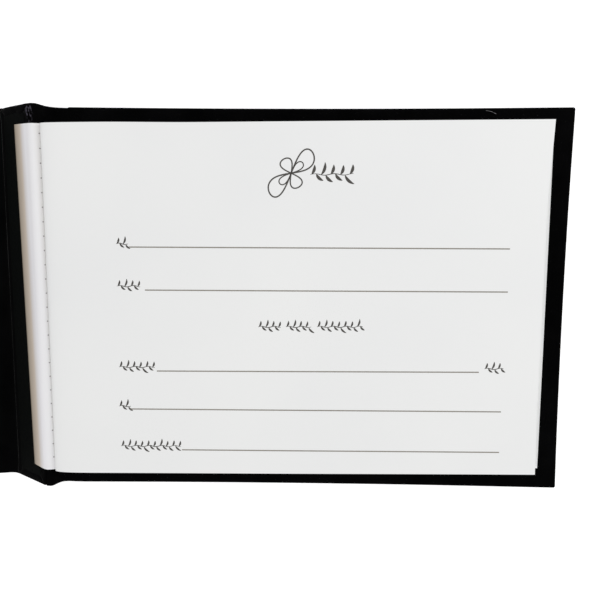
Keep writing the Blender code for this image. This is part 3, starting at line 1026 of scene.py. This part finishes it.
def stroke(points, width, taper=0.0):
    """A flat stroke along points (x, y) on the page: its points and faces. Taper thins both ends."""
    count = len(points)
    top, bottom = [], []
    for n, (x, y) in enumerate(points):
        ax, ay = points[max(n - 1, 0)]
        bx, by = points[min(n + 1, count - 1)]
        length = math.hypot(bx - ax, by - ay)
        nx, ny = -(by - ay) / length, (bx - ax) / length
        swell = 1 - taper * (2 * n / (count - 1) - 1) ** 2
        half = width / 2 * swell
        for side in (-1, 1):
            p = on_page(x + nx * half * side, y + ny * half * side)
            top.append(p + Vector((0, 0, INK_THICKNESS)))
            bottom.append(p)
    return top + bottom, slab_faces(count, 2)


def print_piece(name, strokes, ink=INK):
    """Joins strokes into one piece of ink that moves with the title leaf."""
    points, faces = [], []
    for stroke_points, stroke_faces in strokes:
        offset = len(points)
        faces += [tuple(i + offset for i in f) for f in stroke_faces]
        points += stroke_points
    piece = make_piece(name, points, faces, ink)
    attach(piece, "title_leaf")
    return piece


# Each printed line: left end, right end, and its height at either end, in millimetres on the page.
RULES = [
    (52.4, 213.8, 25.7, 24.3),
    (58.8, 213.7, 7.2, 6.0),
    (63.1, 202.8, -28.4, -28.9),
    (50.8, 213.0, -45.5, -46.5),
    (73.4, 212.9, -64.1, -64.8),
]
# Where small leafy garlands stand in for words: left end, right end and height, in millimetres.
GARLANDS = [
    (46.9, 52.0, 27.1),
    (46.7, 56.7, 8.9),
    (107.5, 117.2, -8.9),
    (119.4, 130.3, -8.9),
    (132.8, 152.5, -8.9),
    (46.5, 62.2, -26.6),
    (205.1, 213.3, -27.4),
    (46.0, 51.2, -44.2),
    (46.3, 73.0, -62.4),
]


def make_rules():
    """The form's ruled lines."""
    strokes = []
    for left, right, start, end in RULES:
        count = 60
        line = [
            ((left + (right - left) * n / count) * MM, (start + (end - start) * n / count) * MM)
            for n in range(count + 1)
        ]
        strokes.append(stroke(line, RULE_WIDTH))
    print_piece("printed_rules", strokes, RULE_INK)


def leaf_mark(x, y, angle, length, width):
    """A leaf-shaped stroke, slightly curved, that starts at a point and swells in its middle."""
    steps = 8
    line = []
    for n in range(steps + 1):
        t = n / steps
        turn = angle + 0.5 * (t - 0.5)
        line.append((x + math.cos(turn) * length * t, y + math.sin(turn) * length * t))
    return stroke(line, width, 0.9)


def garland(left, right, height, leaf=2.75, pitch=1.4):
    """A gently waving stem with leaves to either side."""
    strokes, line = [], []
    count = max(3, round((right - left) / pitch))

    def stem(t):
        wave = 0.3 * math.sin(math.pi * count / 2 * t)
        return (left + (right - left) * t) * MM, (height + wave) * MM

    steps = count * 4
    for n in range(steps + 1):
        line.append(stem(n / steps))
    strokes.append(stroke(line, 0.34 * MM, 0.5))
    for k in range(count):
        x, y = stem((k + 0.25) / count)
        sign = 1 if k % 2 == 0 else -1
        long = leaf * (1.25 if k % 5 == 2 else 0.95)
        strokes.append(leaf_mark(x, y, sign * math.radians(58), long * MM, 0.3 * leaf * MM))
    return strokes


def make_garlands():
    """The leafy sprigs before, after and between the rules."""
    strokes = []
    for left, right, height in GARLANDS:
        strokes += garland(left, right, height)
    print_piece("printed_garlands", strokes)


def turned_curve(centre, tilt, across, points):
    """Points (u, v) in millimetres, sheared by across, turned by tilt and moved to a centre."""
    placed = []
    for u, v in points:
        u += v * across
        x = centre[0] + u * math.cos(tilt) - v * math.sin(tilt)
        y = centre[1] + u * math.sin(tilt) + v * math.cos(tilt)
        placed.append((x * MM, y * MM))
    return placed


def loops(length, height, count=96):
    """A figure of eight lying on its side."""
    around = (2 * math.pi * n / count for n in range(count + 1))
    return [(length * math.cos(a), height * math.sin(2 * a)) for a in around]


def make_heading():
    """A knot of pen loops and a leafy sprig in place of the heading."""
    centre = (121.6, 56.3)
    strokes = [
        stroke(turned_curve(centre, math.radians(42), 0.25, loops(12.2, 3.5)), 0.6 * MM),
        stroke(turned_curve(centre, math.radians(118), 0.0, loops(6.6, 2.5)), 0.55 * MM),
        stroke(turned_curve(centre, math.radians(42), 0.0, loops(6.4, 1.5)), 0.48 * MM),
    ]
    strokes += garland(129.6, 147.6, 55.7, leaf=4.3, pitch=1.95)
    print_piece("printed_heading", strokes)


# ---------------- stage, camera and light
def make_floor():
    """A pale floor, a hair below the book so that the two faces don't meet."""
    mesh = bpy.data.meshes.new("floor")
    size = 15.0
    corners = [(-size, -size, 0), (size, -size, 0), (size, size, 0), (-size, size, 0)]
    mesh.from_pydata(corners, [], [(0, 1, 2, 3)])
    made, _, _, shader = new_material("pale_floor", (0.92, 0.92, 0.92), 0.9, 0.1)
    shader.inputs["Emission Color"].default_value = (1, 1, 1, 1)
    shader.inputs["Emission Strength"].default_value = 0.5
    mesh.materials.append(made)
    floor = bpy.data.objects.new("floor", mesh)
    floor.location.z = -0.05 * MM
    bpy.context.scene.collection.objects.link(floor)


def make_camera():
    """Looks down at the open book from a little towards its head, as a person leaning over it."""
    data = bpy.data.cameras.new("camera")
    data.lens = 42.67
    data.sensor_width = 36
    camera = bpy.data.objects.new("camera", data)
    camera.location = (0.1330, 0.0440, 0.3206)
    camera.rotation_euler = [math.radians(a) for a in (-7.768, 1.458, 0.198)]
    bpy.context.scene.collection.objects.link(camera)
    bpy.context.scene.camera = camera


def area_light(name, location, target, size, power, colour):
    """A round soft light turned towards a target."""
    data = bpy.data.lights.new(name, "AREA")
    data.shape = "DISK"
    data.size = size
    data.energy = power
    data.color = colour
    light = bpy.data.objects.new(name, data)
    light.location = location
    light.rotation_euler = (Vector(target) - Vector(location)).to_track_quat("-Z", "Y").to_euler()
    bpy.context.scene.collection.objects.link(light)


def make_lights():
    """An even white room, a window at the head and right, and a weak fill from the left."""
    world = bpy.data.worlds.new("studio")
    bpy.context.scene.world = world
    world.use_nodes = True
    background = world.node_tree.nodes["Background"]
    background.inputs["Color"].default_value = (1.0, 1.0, 1.0, 1)
    background.inputs["Strength"].default_value = 0.85
    centre = (0.12, 0, 0)
    area_light("window", (0.66, 0.46, 0.76), centre, 0.8, 2.7, (1.0, 1.0, 0.99))
    area_light("fill", (-0.7, -0.5, 1.0), centre, 1.2, 0.35, (0.98, 0.985, 1.0))
    bpy.context.scene.view_settings.view_transform = "Standard"


# ---------------- the whole book
make_camera()
make_lights()
make_floor()
make_cover("back", COVER_LOW, COVER_HIGH)
make_cover("front", FRONT_LOW, FRONT_HIGH)
make_spine()
make_joints()
make_packs()
make_turning_leaves()
make_guard()
make_threads()
make_binding()
make_lint()
make_rules()
make_garlands()
make_heading()
